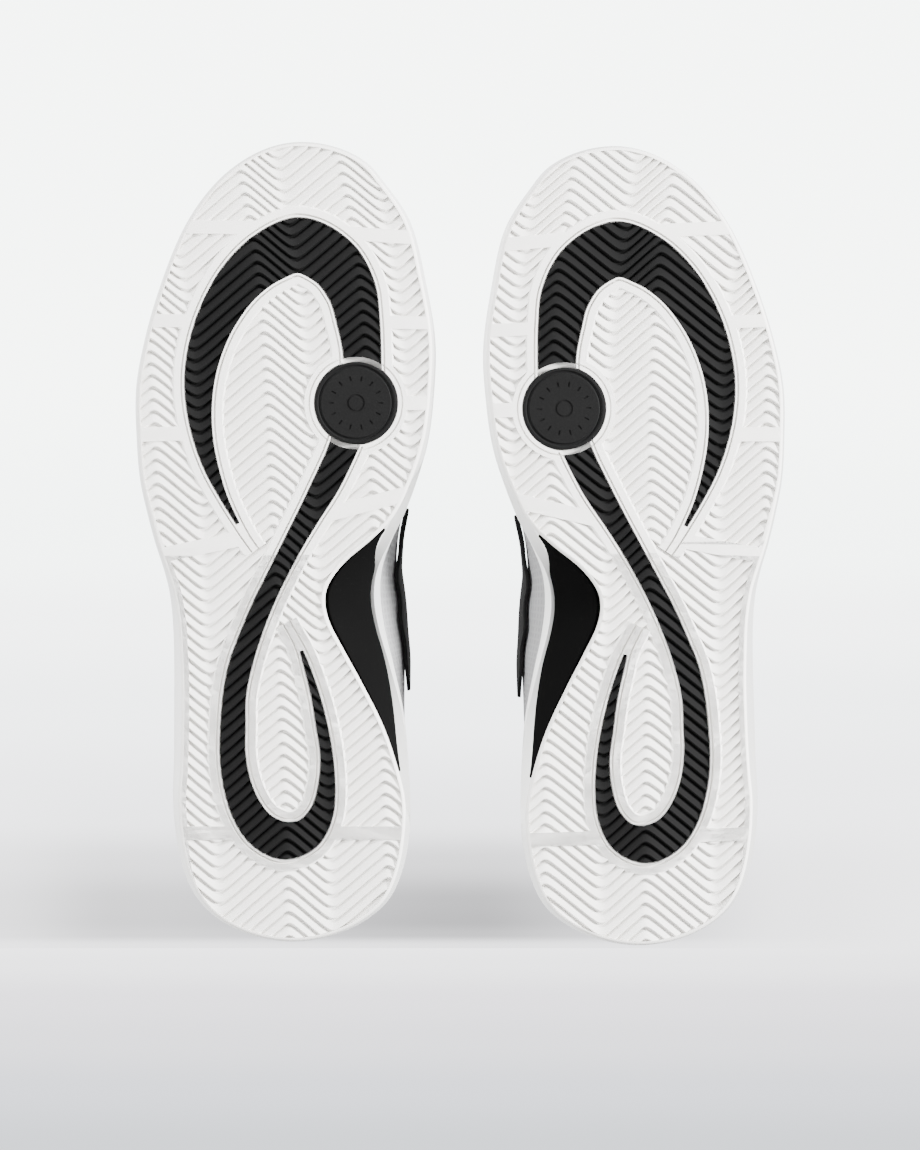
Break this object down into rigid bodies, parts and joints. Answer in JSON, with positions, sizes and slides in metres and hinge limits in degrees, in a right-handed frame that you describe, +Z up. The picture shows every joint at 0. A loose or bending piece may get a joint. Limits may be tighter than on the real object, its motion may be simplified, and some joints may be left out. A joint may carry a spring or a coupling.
{
  "type": "cheer shoes",
  "caption": "Low lace-up cheer shoes, left and right, with a wavy herringbone rubber tread, black tread loops, a round pivot spot, an arch cut-out and a padded collar.",
  "frame": {"origin": "on the floor under the middle of the pair's box", "axes": "+Z up from the soles, toes towards -Y, heels towards +Y, the right-foot shoe at -X and the left-foot shoe at +X"},
  "size_m": [0.212, 0.2632, 0.0978],
  "materials": {
    "white_rubber": "moulded, satin",
    "black_rubber": "moulded, satin",
    "arch_plastic": "smooth moulded, matte",
    "white_foam": "moulded foam, fine skin",
    "white_synthetic": "coated synthetic leather, fine grain",
    "grey_mesh": "knitted mesh",
    "lining": "brushed knit",
    "sock_liner": "fabric on foam",
    "stiffener": "board, matte",
    "lace": "flat braid"
  },
  "bodies": {
    "right_shoe": {"right_outsole": "white_rubber", "right_forefoot_loop": "black_rubber", "right_heel_loop": "black_rubber", "right_pivot_disc": "black_rubber", "right_midsole": "white_foam", "right_arch_wrap": "arch_plastic", "right_lasting_board": "stiffener", "right_vamp": "white_synthetic", "right_toe_cap": "white_synthetic", "right_toe_puff": "stiffener", "right_medial_quarter": "grey_mesh", "right_lateral_quarter": "grey_mesh", "right_medial_eyestay": "white_synthetic", "right_lateral_eyestay": "white_synthetic", "right_medial_grip": "black_rubber", "right_lateral_grip": "black_rubber", "right_heel_tab": "white_synthetic", "right_heel_counter": "stiffener", "right_heel_lining": "lining", "right_collar": "lining", "right_lace": "lace"},
    "right_tongue_body": {"right_tongue": "grey_mesh"},
    "right_insole_body": {"right_insole": "sock_liner"},
    "left_shoe": {"left_outsole": "white_rubber", "left_forefoot_loop": "black_rubber", "left_heel_loop": "black_rubber", "left_pivot_disc": "black_rubber", "left_midsole": "white_foam", "left_arch_wrap": "arch_plastic", "left_lasting_board": "stiffener", "left_vamp": "white_synthetic", "left_toe_cap": "white_synthetic", "left_toe_puff": "stiffener", "left_medial_quarter": "grey_mesh", "left_lateral_quarter": "grey_mesh", "left_medial_eyestay": "white_synthetic", "left_lateral_eyestay": "white_synthetic", "left_medial_grip": "black_rubber", "left_lateral_grip": "black_rubber", "left_heel_tab": "white_synthetic", "left_heel_counter": "stiffener", "left_heel_lining": "lining", "left_collar": "lining", "left_lace": "lace"},
    "left_tongue_body": {"left_tongue": "grey_mesh"},
    "left_insole_body": {"left_insole": "sock_liner"}
  },
  "joints": [
    {"name": "pair_spacing", "type": "slide", "parent": "right_shoe", "child": "left_shoe", "axis": [1, 0, 0], "range_m": [0, 0.15]},
    {"name": "right_tongue_swing", "type": "hinge", "parent": "right_shoe", "child": "right_tongue_body", "pos_m": [-0.05461, -0.0406, 0.051], "axis": [-1, 0, 0], "range_deg": [0, 10], "stiffness_Nm_per_rad": 0.05, "springref_deg": -11.46},
    {"name": "left_tongue_swing", "type": "hinge", "parent": "left_shoe", "child": "left_tongue_body", "pos_m": [0.05479, -0.03934, 0.051], "axis": [-0.9996, 0.0271, 0], "range_deg": [0, 10], "stiffness_Nm_per_rad": 0.05, "springref_deg": -11.46},
    {"name": "right_insole_lift", "type": "hinge", "parent": "right_shoe", "child": "right_insole_body", "pos_m": [-0.05461, -0.1226, 0.018], "axis": [1, 0, 0], "range_deg": [0, 3]},
    {"name": "left_insole_lift", "type": "hinge", "parent": "left_shoe", "child": "left_insole_body", "pos_m": [0.05257, -0.12131, 0.018], "axis": [0.9996, -0.0271, 0], "range_deg": [0, 3]}
  ]
}
